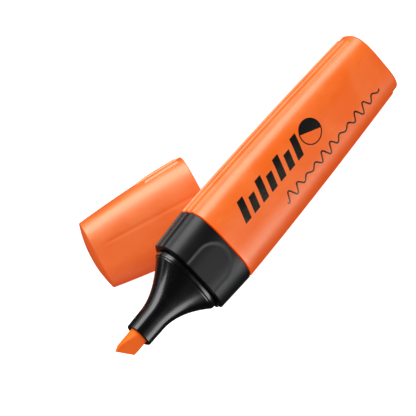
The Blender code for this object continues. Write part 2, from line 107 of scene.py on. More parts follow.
def effect(name, inputs, outputs):
    """An empty shader node group with named sockets, as (tree, its input node, its output node)."""
    tree = bpy.data.node_groups.new(name, "ShaderNodeTree")
    for socket, kind, value in inputs:
        made = tree.interface.new_socket(socket, in_out="INPUT", socket_type=kind)
        if value is not None:
            made.default_value = value
    for socket, kind in outputs:
        tree.interface.new_socket(socket, in_out="OUTPUT", socket_type=kind)
    return tree, tree.nodes.new("NodeGroupInput"), tree.nodes.new("NodeGroupOutput")


def fibre_bundle():
    """Streaks along x and fine pores: noise drawn out eight to one, and small cells."""
    inputs = [("Vector", "NodeSocketVector", None), ("Fibre", "NodeSocketFloat", 6.0)]
    outputs = [(name, "NodeSocketFloat") for name in ("Streaks", "Pores", "Height")]
    tree, given, out = effect("fibre_bundle", inputs, outputs)
    draw_inputs = {0: given.outputs["Vector"], 1: FIBRE_DRAW}
    drawn = wire(tree, "ShaderNodeVectorMath", draw_inputs, operation="MULTIPLY")
    noise_inputs = {"Vector": drawn.outputs[0], "Scale": given.outputs["Fibre"], "Detail": 4.0}
    streaks = wire(tree, "ShaderNodeTexNoise", noise_inputs).outputs["Fac"]
    cell_inputs = {"Vector": given.outputs["Vector"], "Scale": given.outputs["Fibre"]}
    cells = wire(tree, "ShaderNodeTexVoronoi", cell_inputs).outputs["Distance"]
    tree.links.new(ramp(tree, streaks, *STREAK_RANGE), out.inputs["Streaks"])
    pores = ramp(tree, cells, *PORE_RANGE)
    tree.links.new(pores, out.inputs["Pores"])
    height = sum_of(tree, "MULTIPLY_ADD", pores, -PORE_DEPTH, streaks)
    tree.links.new(height, out.inputs["Height"])
    return tree


FIBRE_BUNDLE = fibre_bundle()


def fibres(tree, count):
    """The fibre bundle group laid out along the pen; a higher count makes finer fibres."""
    made = wire(tree, "ShaderNodeGroup", node_tree=FIBRE_BUNDLE)
    tree.links.new(laid_out(tree, PEN_PLACE, PEN_TURN), made.inputs["Vector"])
    made.inputs["Fibre"].default_value = count
    return made


def relief(tree, shader, height, depth):
    """Bump of a depth in metres, into the shader's normal."""
    bump = wire(tree, "ShaderNodeBump", {"Height": height, "Distance": depth})
    tree.links.new(bump.outputs["Normal"], shader.inputs["Normal"])


fibre, tree, shader = finish_of("wet_fibre", Roughness=0.82, Specular_IOR_Level=0.3)
bundle = fibres(tree, CORE_FIBRE)
tree.links.new(blend_of(tree, bundle.outputs["Streaks"], DRY_FIBRE, INK), shader.inputs["Base Color"])
relief(tree, shader, bundle.outputs["Height"], CORE_RELIEF)
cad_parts["reservoir_core"].data.materials.clear()
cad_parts["reservoir_core"].data.materials.append(fibre)

film, tree, shader = finish_of("clear_film", Roughness=0.2, Coat_Weight=0.4, Coat_Roughness=0.1)
on_film = laid_out(tree, PEN_PLACE, PEN_TURN)
wrinkle_inputs = {"Vector": on_film, "Scale": FILM_WRINKLE, "Distortion": 1.5}
wrinkles = wire(tree, "ShaderNodeTexNoise", wrinkle_inputs).outputs["Fac"]
tree.links.new(blend_of(tree, wrinkles, FILM, DRY_FIBRE), shader.inputs["Base Color"])
relief(tree, shader, wrinkles, FILM_RELIEF)
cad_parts["reservoir_wrap"].data.materials.clear()
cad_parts["reservoir_wrap"].data.materials.append(film)

# Nib ----------------------------------------------------------------------------------------------
# A stick of hard felt: an oval rod of bonded fibre ground to a slanted wedge with a blunt edge.
# It is pressed into the nose's bore, and its tail stands in the reservoir.

NIB_HALF_WIDTH = 2.85
NIB_HALF_THICK = 2.35
NIB_TAIL = 8.0
TIP = np.array((-30.9, 2.2))  # the wedge's high corner, x and y
CHISEL_SLANT = math.radians(33.0)
CHISEL_ANGLE = math.radians(18.5)
CHISEL_EDGE = 0.25
CORNER_EASE = math.radians(15.0)
NIB_ROUNDING = 0.05  # radius left on the ground edges
NIB_RINGS = 150
NIB_RAYS = 220
LEAN_START = 0.55  # share of the length at which the rings start to lean over
SHARP_EDGE = math.radians(40.0)  # faces that meet at more than this are shaded apart
FELT_SOAKED = (0.50, 0.085, 0.0005, 1.0)
FELT_STREAK = (0.57, 0.106, 0.0010, 1.0)
FELT_PORE = (0.42, 0.055, 0.0005, 1.0)
FELT_GLOW = (1.0, 0.045, 0.0, 1.0)
FELT_FIBRE = 7.0
FELT_RELIEF = 0.014 * MM


def placed(points, place, turn):
    """Points in a piece's frame, in millimetres, turned and moved to where they lie, in metres."""
    return points @ np.array(turn.to_matrix()).T * MM + np.array(place)


def skin(name, points, poles=False, hoop=False, marks=None):
    """A closed smooth skin over rings of points, an array (rings, points, 3): a quad joins each pair
    of neighbours on one ring to the same pair on the next. Poles close the two end rings with fans
    to their middles, or hoop joins the last ring to the first. The volume's sign turns faces out."""
    rings, count = points.shape[:2]
    index = np.arange(rings * count).reshape(rings, count)
    following = np.roll(index, -1, axis=0) if hoop else index[1:]
    near = index if hoop else index[:-1]
    quads = np.stack((near, np.roll(near, -1, 1), np.roll(following, -1, 1), following), -1)
    quads = quads.reshape(-1, 4)
    corners = points.reshape(-1, 3)
    fans = np.empty((0, 3), int)
    if poles:
        corners = np.concatenate((corners, [points[0].mean(0), points[-1].mean(0)]))
        first = np.stack((np.roll(index[0], -1), index[0], np.full(count, rings * count)), -1)
        last = np.stack((index[-1], np.roll(index[-1], -1), np.full(count, rings * count + 1)), -1)
        fans = np.concatenate((first, last))
    thirds = np.concatenate((quads[:, :3], quads[:, [0, 2, 3]], fans))
    a, b, c = (corners[thirds[:, k]] for k in range(3))
    if (a * np.cross(b, c)).sum() < 0:
        quads, fans = quads[:, ::-1], fans[:, ::-1]
    mesh = bpy.data.meshes.new(name)
    mesh.from_pydata(corners.tolist(), [], quads.tolist() + fans.tolist())
    for mark, values in (marks or {}).items():
        flat = np.zeros(len(corners), np.float32)
        flat[: rings * count] = np.broadcast_to(values, (rings, count)).ravel()
        mesh.attributes.new(mark, "FLOAT", "POINT").data.foreach_set("value", flat)
    mesh.shade_smooth()
    mesh.set_sharp_from_angle(angle=SHARP_EDGE)
    piece = bpy.data.objects.new(name, mesh)
    bpy.context.scene.collection.objects.link(piece)
    return piece


def nib_points():
    """Rays leave a middle line that runs from the tail to the middle of the blunt edge, in planes that
    lean over from square at the tail to the edge's slant. Each stops at the nearest of the oval rod's
    side, the two wedge faces, the eased corner; a soft minimum of those lengths rounds the edges."""
    along = np.linspace(0.0, 1.0, NIB_RINGS)[:, None] ** 0.8
    around = np.linspace(0, 2 * np.pi, NIB_RAYS, endpoint=False)[None, :]
    end_y = (TIP[1] - NIB_HALF_WIDTH) / 2
    end_x = TIP[0] - math.tan(CHISEL_SLANT) * (end_y - TIP[1])
    middle_x = NIB_TAIL + (end_x - NIB_TAIL) * along
    middle_y = end_y * along**3
    lean = math.tan(CHISEL_SLANT) * np.clip((along - LEAN_START) / (1 - LEAN_START), 0, 1)
    step_x = -lean * np.cos(around)
    step_y = np.cos(around) + 0 * along
    step_z = np.sin(around) + 0 * along
    # the oval: ((y + t dy) / a)^2 + (t dz / b)^2 = 1, solved for t
    square = (step_y / NIB_HALF_WIDTH) ** 2 + (step_z / NIB_HALF_THICK) ** 2
    half = middle_y * step_y / NIB_HALF_WIDTH**2
    reach = [(-half + np.sqrt(half**2 + square * (1 - (middle_y / NIB_HALF_WIDTH) ** 2))) / square]
    wedge_x = -math.cos(CHISEL_SLANT) * math.sin(CHISEL_ANGLE)
    wedge_y = -math.sin(CHISEL_SLANT) * math.sin(CHISEL_ANGLE)
    planes = [(wedge_x, wedge_y, side * math.cos(CHISEL_ANGLE), side) for side in (1, -1)]
    planes.append((-math.sin(CORNER_EASE), math.cos(CORNER_EASE), 0.0, 0))
    for nx, ny, nz, side in planes:
        gap = nx * (TIP[0] - middle_x) + ny * (TIP[1] - middle_y) + nz * side * CHISEL_EDGE
        pace = nx * step_x + ny * step_y + nz * step_z
        reach.append(np.where(pace > 1e-6, gap / np.maximum(pace, 1e-6), 1e3))
    nearest = np.minimum.reduce(reach)
    soft = nearest - NIB_ROUNDING * np.log(sum(np.exp((nearest - r) / NIB_ROUNDING) for r in reach))
    length = np.maximum(soft, 0.02)
    return np.stack((middle_x + length * step_x, middle_y + length * step_y, length * step_z), -1)


nib = skin("felt_nib", placed(nib_points(), PEN_PLACE, PEN_TURN), poles=True)
felt, tree, shader = finish_of("inked_felt", Specular_IOR_Level=0.16, Emission_Strength=0.2)
shader.inputs["Emission Color"].default_value = FELT_GLOW
bundle = fibres(tree, FELT_FIBRE)
soaked = blend_of(tree, bundle.outputs["Streaks"], FELT_SOAKED, FELT_STREAK)
pored = blend_of(tree, bundle.outputs["Pores"], soaked, FELT_PORE)
tree.links.new(pored, shader.inputs["Base Color"])
felt_gloss = sum_of(tree, "MULTIPLY_ADD", bundle.outputs["Streaks"], 0.15, 0.42)
tree.links.new(felt_gloss, shader.inputs["Roughness"])
relief(tree, shader, bundle.outputs["Height"], FELT_RELIEF)
nib.data.materials.append(felt)
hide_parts("nib")
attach(nib, "pen")

# Nose cone ----------------------------------------------------------------------------------------
# Gloss black polypropylene, moulded in one shot: a skirt that presses into the collar, a bead that
# the cap snaps over, and a waisted cone that narrows to the nozzle round the nib.

COLLAR_BORE_HALF_WIDTH = 11.0
COLLAR_BORE_HALF_THICK = 5.975
PRESS_GAP = 0.3
NOSE_LENGTH = 22.9
BEAD_STAND = 0.45  # bead over the collar's bore
BEAD_LENGTH = 2.1
NECK_INSET = 0.5
FLARE_START = 2.4
FLARE_LENGTH = 14.2
FLARE_POWER = 1.95
NOZZLE_HALF_WIDTH = 4.0
NOZZLE_HALF_THICK = 3.4
NOZZLE_RUN_OUT = 0.5
NOZZLE_EDGE = 0.35
SKIRT_LENGTH = 8.5
SKIRT_WALL = 1.3
NOSE_WALL = 1.1
BORE_LIP = 0.2
BORE_REAR = 12.0  # where the nib's bore opens into the cavity
CAVITY = (9.6, 1.2)  # the cavity's front and rear, in front of the collar's edge
CONE_POWER = 2.6  # of the superellipse: 2 is an ellipse, and more is squarer
NOZZLE_POWER = 2.5
BORE_LIP_POWER = 2.1
BORE_POWER = 2.0
BLACK_POLYPROPYLENE = (0.0012, 0.0013, 0.0016, 1.0)
SCUFFED_BLACK = (0.006, 0.006, 0.0065, 1.0)
NOSE_GRAIN = 14.0
NOSE_RELIEF = 0.0015 * MM
HAIR_DRAW = (0.10, 1.7, 1.7)
HAIR_RANGE = (0.60, 0.70)
MOTTLE_RANGE = (0.3, 0.7)
WAVE_HEIGHT = 1.4  # of the slow waviness against the grain
SCUFF_DEPTH = 0.5


def moulded_skin():
    """Marks every moulded piece has: flow mottle, a fine spark-eroded grain over slow waviness, and
    hairline scuffs, which are noise drawn out along x and cut off near its peak."""
    inputs = [("Vector", "NodeSocketVector", None), ("Grain", "NodeSocketFloat", 9.0)]
    outputs = [(name, "NodeSocketFloat") for name in ("Mottle", "Scuffs", "Height")]
    tree, given, out = effect("moulded_skin", inputs, outputs)
    vector = given.outputs["Vector"]
    flow_inputs = {"Vector": vector, "Scale": 0.11, "Detail": 3.0, "Distortion": 0.6}
    flow = wire(tree, "ShaderNodeTexNoise", flow_inputs)
    mottle = ramp(tree, flow.outputs["Fac"], *MOTTLE_RANGE)
    drawn = wire(tree, "ShaderNodeVectorMath", {0: vector, 1: HAIR_DRAW}, operation="MULTIPLY")
    hair = wire(tree, "ShaderNodeTexNoise", {"Vector": drawn.outputs[0], "Scale": 1.6, "Detail": 5.0})
    scuffs = sum_of(tree, "MULTIPLY", ramp(tree, hair.outputs["Fac"], *HAIR_RANGE), mottle)
    grain_inputs = {"Vector": vector, "Scale": given.outputs["Grain"], "Detail": 2.0}
    grain = wire(tree, "ShaderNodeTexNoise", grain_inputs)
    wave = wire(tree, "ShaderNodeTexNoise", {"Vector": vector, "Scale": 0.5, "Detail": 1.0})
    height = sum_of(tree, "MULTIPLY_ADD", wave.outputs["Fac"], WAVE_HEIGHT, grain.outputs["Fac"])
    tree.links.new(mottle, out.inputs["Mottle"])
    tree.links.new(scuffs, out.inputs["Scuffs"])
    scratched = sum_of(tree, "MULTIPLY_ADD", scuffs, -SCUFF_DEPTH, height)
    tree.links.new(scratched, out.inputs["Height"])
    return tree


MOULDED_SKIN = moulded_skin()


def moulded(tree, place, turn, grain):
    """The moulded skin group, laid out on one piece with its own grain."""
    made = wire(tree, "ShaderNodeGroup", node_tree=MOULDED_SKIN)
    tree.links.new(laid_out(tree, place, turn), made.inputs["Vector"])
    made.inputs["Grain"].default_value = grain
    return made


def bend(start, end, turns, count=7):
    """A quarter turn of an ellipse from start to end, both (x, inset): it leaves start along x when
    turns is 0 and across it when turns is 1."""
    angle = np.linspace(0, np.pi / 2, count)
    share_x = np.sin(angle) if turns == 0 else 1 - np.cos(angle)
    share_inset = 1 - np.cos(angle) if turns == 0 else np.sin(angle)
    return [
        (start[0] + (end[0] - start[0]) * u, start[1] + (end[1] - start[1]) * v)
        for u, v in zip(share_x, share_inset)
    ]


def nose_size(depth):
    """Half-width and half-thickness in front of the collar: the shoulder's size times (1 - share of
    the flare)^FLARE_POWER, over a nozzle that tapers evenly to its end."""
    share = np.clip((depth - FLARE_START) / FLARE_LENGTH, 0, 1)
    flare = (1 - share) ** FLARE_POWER
    run_out = NOZZLE_RUN_OUT * np.clip(1 - depth / NOSE_LENGTH, 0, 1)
    sizes = []
    bores = (COLLAR_BORE_HALF_WIDTH, COLLAR_BORE_HALF_THICK)
    for bore, nozzle in zip(bores, (NOZZLE_HALF_WIDTH, NOZZLE_HALF_THICK)):
        shoulder = bore + BEAD_STAND - NECK_INSET
        sizes.append(nozzle + run_out + (shoulder - nozzle - run_out) * flare)
    return tuple(sizes)


def superoval(x, half_width, half_thick, power, count=200):
    """Rings of |y / half width|^power + |z / half thickness|^power = 1 at each x."""
    around = (np.arange(count) + 0.5) * 2 * np.pi / count
    c, s = np.cos(around)[None, :], np.sin(around)[None, :]
    rows = len(x)
    x, half_width, half_thick, power = (
        np.broadcast_to(np.asarray(v, float), rows)[:, None] for v in (x, half_width, half_thick, power)
    )
    y = half_width * np.sign(c) * np.abs(c) ** (2 / power)
    z = half_thick * np.sign(s) * np.abs(s) ** (2 / power)
    return np.stack((x + 0 * c, y, z), -1)


def nose_profile():
    """(x, half-width, half-thickness, power) from the skirt's rear rim, along the outside, round the
    nozzle's lip and back up the bore and the cavity to the rim again."""
    rows = []
    skirt = (COLLAR_BORE_HALF_WIDTH - PRESS_GAP, COLLAR_BORE_HALF_THICK - PRESS_GAP)
    bead = (COLLAR_BORE_HALF_WIDTH + BEAD_STAND, COLLAR_BORE_HALF_THICK + BEAD_STAND)
    for x in np.linspace(SKIRT_LENGTH, -PRESS_GAP, 6):
        rows.append((x, *skirt, CONE_POWER))
    bead_middle = (PRESS_GAP + BEAD_LENGTH) / 2
    bead_half = (BEAD_LENGTH - PRESS_GAP) / 2
    for turn in np.linspace(0, np.pi, 25):
        x = -bead_middle + bead_half * np.cos(turn)
        drop = BEAD_STAND * (1 - abs(np.sin(turn)) ** 0.5)
        rows.append((x, bead[0] - drop, bead[1] - drop, CONE_POWER))
    straight = NOSE_LENGTH - NOZZLE_EDGE
    for depth in FLARE_START + (straight - FLARE_START) * np.linspace(0, 1, 90) ** 1.25:
        rows.append((-depth, *nose_size(depth), CONE_POWER))
    for x, inset in bend((-straight, 0.0), (-NOSE_LENGTH, NOZZLE_EDGE), 0):
        rows.append((x, NOZZLE_HALF_WIDTH - inset, NOZZLE_HALF_THICK - inset, NOZZLE_POWER))
    bore = (NIB_HALF_WIDTH + PRESS_GAP, NIB_HALF_THICK + PRESS_GAP)
    for x, inset in bend((-NOSE_LENGTH, -BORE_LIP), (-NOSE_LENGTH + BORE_LIP, 0.0), 1):
        rows.append((x, bore[0] - inset, bore[1] - inset, BORE_LIP_POWER))
    for x in np.linspace(-NOSE_LENGTH + 2 * BORE_LIP, -BORE_REAR, 8):
        rows.append((x, *bore, BORE_POWER))
    skirt_bore = (skirt[0] - SKIRT_WALL, skirt[1] - SKIRT_WALL)
    for depth in np.linspace(*CAVITY, 10):
        inside = [min(size - NOSE_WALL, most) for size, most in zip(nose_size(depth), skirt_bore)]
        rows.append((-depth, *inside, CONE_POWER))
    rows.append((0.0, *skirt_bore, CONE_POWER))
    rows.append((SKIRT_LENGTH, *skirt_bore, CONE_POWER))
    return np.array(rows)


nose_rings = superoval(*nose_profile().T)
nose = skin("nose_cone_moulding", placed(nose_rings, PEN_PLACE, PEN_TURN), hoop=True)
gloss_values = {"Coat_Weight": 0.2, "Coat_Roughness": 0.16, "Specular_IOR_Level": 0.42}
gloss_black, tree, shader = finish_of("gloss_black_moulding", **gloss_values)
marks = moulded(tree, PEN_PLACE, PEN_TURN, NOSE_GRAIN)
scuffed = blend_of(tree, marks.outputs["Scuffs"], BLACK_POLYPROPYLENE, SCUFFED_BLACK)
tree.links.new(scuffed, shader.inputs["Base Color"])
nose_gloss = sum_of(tree, "MULTIPLY_ADD", marks.outputs["Mottle"], 0.04, 0.22)
nose_gloss = sum_of(tree, "MULTIPLY_ADD", marks.outputs["Scuffs"], 0.06, nose_gloss)
tree.links.new(nose_gloss, shader.inputs["Roughness"])
relief(tree, shader, marks.outputs["Height"], NOSE_RELIEF)
nose.data.materials.append(gloss_black)
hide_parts("nose_cone")
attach(nose, "pen")

# Grip collar --------------------------------------------------------------------------------------
# Satin black polypropylene: a flat-oval sleeve whose thin spigot presses into the barrel. Three grip
# ribs run down each narrow side, and an arched finger rest with a matt border is sunk in each face.

LAND = 2.5  # half-width of the true flat on each broad face
FRONT_POWER = 2.3
SIDE_POWER = 3.0
SIDE_REACH = 4.4  # height over which a narrow side has even points, ribs among them
RIB_PITCH = 3.0
RIB_WIDTH = 1.2
RIB_HEIGHT = 0.4
COLLAR_LENGTH = 12.8
COLLAR_FRONT = (12.70, 7.675)
COLLAR_REAR = (13.35, 8.0)
SPIGOT = (11.70, 6.33)
SPIGOT_WALL = 1.1
PRESS_DEPTH = 7.0
REST_CENTRE = 5.6
REST_RADIUS = 6.4
REST_BORDER = 1.0
REST_DEPTH = 0.22
COLLAR_EDGE = 0.3  # rounding of the front edge
COLLAR_REAR_EDGE = 0.15
RIB_FLANK = 0.2  # of a rib's width, on each side
RIB_CROWN = 0.15  # of a rib's height
SIDE_POINTS = 97
CORNER_POINTS = 57
FLAT_POINTS = 41
SATIN_BLACK = (0.0035, 0.0036, 0.0040, 1.0)
REST_BLACK = (0.0055, 0.0056, 0.0060, 1.0)
BORDER_BLACK = (0.030, 0.030, 0.031, 1.0)
RUBBED_BLACK = (0.020, 0.020, 0.021, 1.0)
SCRATCHED_BLACK = (0.010, 0.010, 0.0105, 1.0)
COLLAR_GRAIN = 8.0
COLLAR_RELIEF = 0.008 * MM


def rib_profile(height):
    """Rise of the three ribs over height, one row each: a smooth step up over a fifth of the width on
    both flanks, and a slight crown between."""
    offset = np.abs(height[None, :] - RIB_PITCH * np.array((-1, 0, 1))[:, None]) / RIB_WIDTH
    flank = np.clip((0.5 - offset) / RIB_FLANK, 0, 1)
    crown = np.clip(1 - (2 * offset) ** 2, 0, 1)
    return RIB_HEIGHT * ((1 - RIB_CROWN) * flank**2 * (3 - 2 * flank) + RIB_CROWN * crown)


SIDE_HEIGHTS = np.linspace(-SIDE_REACH, SIDE_REACH, SIDE_POINTS)
RIB_RISES = rib_profile(SIDE_HEIGHTS)


def flat_oval(x, half_width, half_thick, ribs=0.0, shrink=1.0):
    """Flat-oval rings at each x: y = land + (half width - land)(1 - |z / half thickness|^3)^(1/2.3),
    plus ribs (the share of its rise each of the three ribs has there) on the narrow sides. Even heights
    on the sides, even turns round the corners and even steps over the flats; shrink scales the ring."""
    rows = len(x)
    x, half_width, half_thick, shrink = (
        np.broadcast_to(np.asarray(v, float), rows)[:, None] for v in (x, half_width, half_thick, shrink)
    )
    ribs = np.broadcast_to(np.asarray(ribs, float), (rows, 3))
    wide = half_width - LAND
    side_y = LAND + wide * (1 - np.abs(SIDE_HEIGHTS / half_thick) ** SIDE_POWER) ** (1 / FRONT_POWER)
    side_y = side_y + ribs @ RIB_RISES
    side_z = SIDE_HEIGHTS + 0 * side_y
    start = np.arcsin((SIDE_REACH / half_thick) ** (SIDE_POWER / 2))
    turn = start + (np.pi / 2 - start) * np.linspace(0, 1, CORNER_POINTS)[None, 1:]
    corner_y = LAND + wide * np.clip(np.cos(turn), 0, 1) ** (2 / FRONT_POWER)
    corner_z = half_thick * np.sin(turn) ** (2 / SIDE_POWER)
    flat_y = np.linspace(LAND, -LAND, FLAT_POINTS)[None, 1:-1] + 0 * x
    flat_z = half_thick + 0 * flat_y
    # one half turn: up the side, round the corner, over the flat and down the far corner
    half_y = np.concatenate((side_y, corner_y, flat_y, -corner_y[:, ::-1]), 1)
    half_z = np.concatenate((side_z, corner_z, flat_z, corner_z[:, ::-1]), 1)
    y = np.concatenate((half_y, -side_y[:, ::-1], -corner_y, -flat_y, corner_y[:, ::-1]), 1)
    z = np.concatenate((half_z, side_z[:, ::-1], -corner_z, -flat_z, -corner_z[:, ::-1]), 1)
    return np.stack((x + 0 * y, y * shrink, z * shrink), -1)


def rib_share(points, half_width, half_thick):
    """How much of a rib's height each point stands over the plain oval, 0 to 1."""
    tall = np.clip(1 - (np.abs(points[..., 2]) / half_thick[:, None]) ** SIDE_POWER, 0, 1)
    plain = LAND + (half_width[:, None] - LAND) * tall ** (1 / FRONT_POWER)
    on_side = np.abs(points[..., 2]) < SIDE_REACH
    return np.where(on_side, np.clip((np.abs(points[..., 1]) - plain) / RIB_HEIGHT, 0, 1), 0)


def edge_round(past, radius):
    """How far a quarter-round edge draws in, a distance past the start of its rounding."""
    return radius - np.sqrt(np.clip(radius**2 - np.clip(past, 0, None) ** 2, 0, None))


def attribute(tree, name):
    """A mark stored on the mesh."""
    return wire(tree, "ShaderNodeAttribute", attribute_name=name).outputs["Fac"]


def collar_size(x):
    """Half-width and half-thickness, even from the front edge to the barrel."""
    share = np.clip(x / COLLAR_LENGTH, 0, 1)
    return [front + (rear - front) * share for front, rear in zip(COLLAR_FRONT, COLLAR_REAR)]


rear_start = COLLAR_LENGTH - COLLAR_REAR_EDGE
outer_x = np.concatenate((
    COLLAR_EDGE * (1 - np.cos(np.linspace(0, np.pi / 2, 6))),
    np.linspace(COLLAR_EDGE, rear_start, 112)[1:],
    rear_start + COLLAR_REAR_EDGE * np.sin(np.linspace(0, np.pi / 2, 5))[1:],
))
edge_inset = edge_round(COLLAR_EDGE - outer_x, COLLAR_EDGE)
rear_inset = edge_round(outer_x - rear_start, COLLAR_REAR_EDGE)
outer_wide, outer_thick = collar_size(outer_x)
inset = edge_inset + rear_inset
collar_outer = flat_oval(outer_x, outer_wide - inset, outer_thick - inset, np.ones(3))
ribbed = rib_share(collar_outer, outer_wide - inset, outer_thick - inset)
behind_centre = np.clip(collar_outer[..., 0] - REST_CENTRE, 0, None)
inside_rest = REST_RADIUS - np.hypot(behind_centre, collar_outer[..., 1])
sunk = np.clip(inside_rest / REST_BORDER, 0, 1)
sunk = sunk**2 * (3 - 2 * sunk) * (np.abs(collar_outer[..., 2]) > SIDE_REACH)
from_border = np.abs(inside_rest / REST_BORDER - 0.5)
border = np.clip(1 - from_border / 0.62, 0, 1) ** 0.5 * (sunk > 0)
collar_outer[..., 2] -= np.sign(collar_outer[..., 2]) * REST_DEPTH * sunk
end = COLLAR_LENGTH + PRESS_GAP + PRESS_DEPTH
bore_step = SKIRT_LENGTH + PRESS_GAP
spigot_bore = (SPIGOT[0] - SPIGOT_WALL, SPIGOT[1] - SPIGOT_WALL)
collar_bore = (COLLAR_BORE_HALF_WIDTH, COLLAR_BORE_HALF_THICK)
inner_rows = [
    (COLLAR_LENGTH, *SPIGOT),
    (end - 0.4, *SPIGOT),
    (end, SPIGOT[0] - 0.3, SPIGOT[1] - 0.3),
    (end, *spigot_bore),
    (bore_step, *spigot_bore),
    (bore_step, *collar_bore),
    (0.25, *collar_bore),
    (0.0, collar_bore[0] + 0.2, collar_bore[1] + 0.2),
]
collar_inner = flat_oval(*np.array(inner_rows).T)
collar_rings = np.concatenate((collar_outer, collar_inner))
nothing = np.zeros(collar_inner.shape[:2])
collar_marks = {
    "rib": np.concatenate((ribbed, nothing)),
    "rest": np.concatenate((sunk, nothing)),
    "border": np.concatenate((border, nothing)),
}
collar_points = placed(collar_rings, PEN_PLACE, PEN_TURN)
collar = skin("grip_collar_sleeve", collar_points, hoop=True, marks=collar_marks)
satin_values = {"Coat_Weight": 0.05, "Coat_Roughness": 0.3, "Specular_IOR_Level": 0.28}
satin_black, tree, shader = finish_of("satin_black_moulding", **satin_values)
marks = moulded(tree, PEN_PLACE, PEN_TURN, COLLAR_GRAIN)
handling = sum_of(tree, "MULTIPLY_ADD", marks.outputs["Mottle"], 0.5, 0.3)
rubbed = sum_of(tree, "MULTIPLY", attribute(tree, "rib"), handling)
collar_colour = blend_of(tree, attribute(tree, "rest"), SATIN_BLACK, REST_BLACK)
collar_colour = blend_of(tree, attribute(tree, "border"), collar_colour, BORDER_BLACK)
collar_colour = blend_of(tree, rubbed, collar_colour, RUBBED_BLACK)
collar_colour = blend_of(tree, marks.outputs["Scuffs"], collar_colour, SCRATCHED_BLACK)
tree.links.new(collar_colour, shader.inputs["Base Color"])
collar_gloss = sum_of(tree, "MULTIPLY_ADD", marks.outputs["Mottle"], 0.06, 0.34)
collar_gloss = sum_of(tree, "MULTIPLY_ADD", attribute(tree, "rest"), 0.05, collar_gloss)
collar_gloss = sum_of(tree, "MULTIPLY_ADD", attribute(tree, "border"), 0.12, collar_gloss)
tree.links.new(collar_gloss, shader.inputs["Roughness"])
relief(tree, shader, marks.outputs["Height"], COLLAR_RELIEF)
collar.data.materials.append(satin_black)
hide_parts("grip_collar")
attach(collar, "pen")

# Barrel -------------------------------------------------------------------------------------------
# The handle: a moulded shell of fluorescent orange polypropylene, flat-oval, with a crowned tail.
# Ribs run down both narrow sides and stop short of the tail; the upper face is printed in black.

BARREL_START = COLLAR_LENGTH + PRESS_GAP
BARREL_LENGTH = 76.0
TAIL = (10.95, 6.6)
TAIL_CROWN = 1.6
TAIL_CORNER = 0.5
BARREL_WALL = 1.3
TAIL_WALL = 1.8
RIBS_END_BEFORE_TAIL = 3.5
RIB_RUN_IN = 0.9
BARREL_EDGE = BARREL_START + BARREL_LENGTH - TAIL_CROWN - TAIL_CORNER
RIM = 0.28  # rounding of the barrel's front rim
RIM_GLOW = 0.5  # length over which a painted glow fades back from a rim
BARREL_TAPER = 1.7
TAIL_STRETCH = 6.0  # the last of the side, where rings are closer
SIDE_RINGS = 44
FLOOR_SHARES = (0.8, 0.5, 0.2, 0.05)  # of a bore's size, inward over the flat floor that closes it
DEEP_ORANGE = (0.30, 0.078, 0.0040, 1.0)
FAIR_ORANGE = (0.36, 0.150, 0.0360, 1.0)
RUBBED_ORANGE = (0.42, 0.175, 0.0520, 1.0)
# painted glow along the barrel's front rim and the cap's mouth
LIT_RIM = (0.46, 0.092, 0.005, 1.0)
# painted glow: an even orange light the plastic gives off whether lit or not
PAINTED_GLOW = (1.0, 0.040, 0.002, 1.0)
UNLIT = (0.0, 0.0, 0.0, 1.0)
WARM_SHEEN = (1.0, 0.96, 0.70, 1.0)
ORANGE_COAT = 0.25
ORANGE_GRAIN = 7.0
ORANGE_RELIEF = 0.008 * MM
BARREL_FAIRNESS = 0.02
BARREL_ROUGHNESS = 0.33
BARREL_SHEEN = 0.62
PRINT_BLACK = (0.005, 0.005, 0.0055, 1.0)
PRINT_SOFT = 0.05  # half the width of the print's soft edge
STROKE_START = 20.2
STROKE_PITCH = 4.2
STROKE_COUNT = 7
STROKE_HALF_WIDTH = 1.3
STROKE_LEAN = 0.36
STROKE_FOOT = 0.2
STROKE_TOP = 6.7
STROKE_STEP = 1.7  # by which every second stroke is shorter
DISC_CENTRE = (55.2, 3.3)
DISC_RADIUS = 4.0
DISC_LINE = 0.4
DISC_SLANT = 0.5
WAVE_Y = -4.9
WAVE_REACH = (35.0, 81.0)
WAVE_SWING = 0.95
WAVE_SWELL = 0.5
WAVE_SWELL_RATE = 0.37  # radians to a millimetre
WAVE_RATE = 1.55
WAVE_HALF_WIDTH = 0.27
PRINT_ABOVE = (0.0, 0.5)  # heights over which the print comes in, so that only the upper face has it


def barrel_size(x):
    """Half-width falls with the 1.7th power of the share of length, half-thickness evenly."""
    share = np.clip((x - BARREL_START) / (BARREL_EDGE - BARREL_START), 0, 1)
    wide = COLLAR_REAR[0] + (TAIL[0] - COLLAR_REAR[0]) * share**BARREL_TAPER
    return wide, COLLAR_REAR[1] + (TAIL[1] - COLLAR_REAR[1]) * share


def crowned_end(crown, corner, half_width):
    """Shares of the end's size from its middle out, and how far each lies out from the edge: a shallow
    crown (1 - share^2), on a corner that is a quarter circle over the last stretch of the share."""
    band = corner / half_width
    turned = 1 - band + band * np.sin(np.linspace(0, np.pi / 2, 14))
    shares = np.concatenate((np.linspace(0.04, 1 - band, 16)[:-1], turned))
    round_off = np.clip((shares - 1 + band) / band, 0, 1)
    return shares, crown * (1 - shares**2) + corner * np.sqrt(1 - round_off**2)


def rib_run(x, start, stop, run_in):
    """1 between start and stop, easing to 0 over run_in inside both."""
    near = np.clip(np.minimum(x - start, stop - x) / run_in, 0, 1)
    return near**2 * (3 - 2 * near)


def floor_rings(x, half_width, half_thick):
    """Rings that close a bore with a flat floor at x."""
    return flat_oval(np.full(len(FLOOR_SHARES), x), half_width, half_thick, shrink=FLOOR_SHARES)


def shell_marks(end, ribs, rim, inside):
    """Rib and rim marks over a shell's rings: none on its end, then its side's, and none inside."""
    before, after = np.zeros(end.shape[:2]), np.zeros(inside.shape[:2])
    rim = rim[:, None] + np.zeros(ribs.shape)
    return {"rib": np.concatenate((before, ribs, after)), "rim": np.concatenate((before, rim, after))}


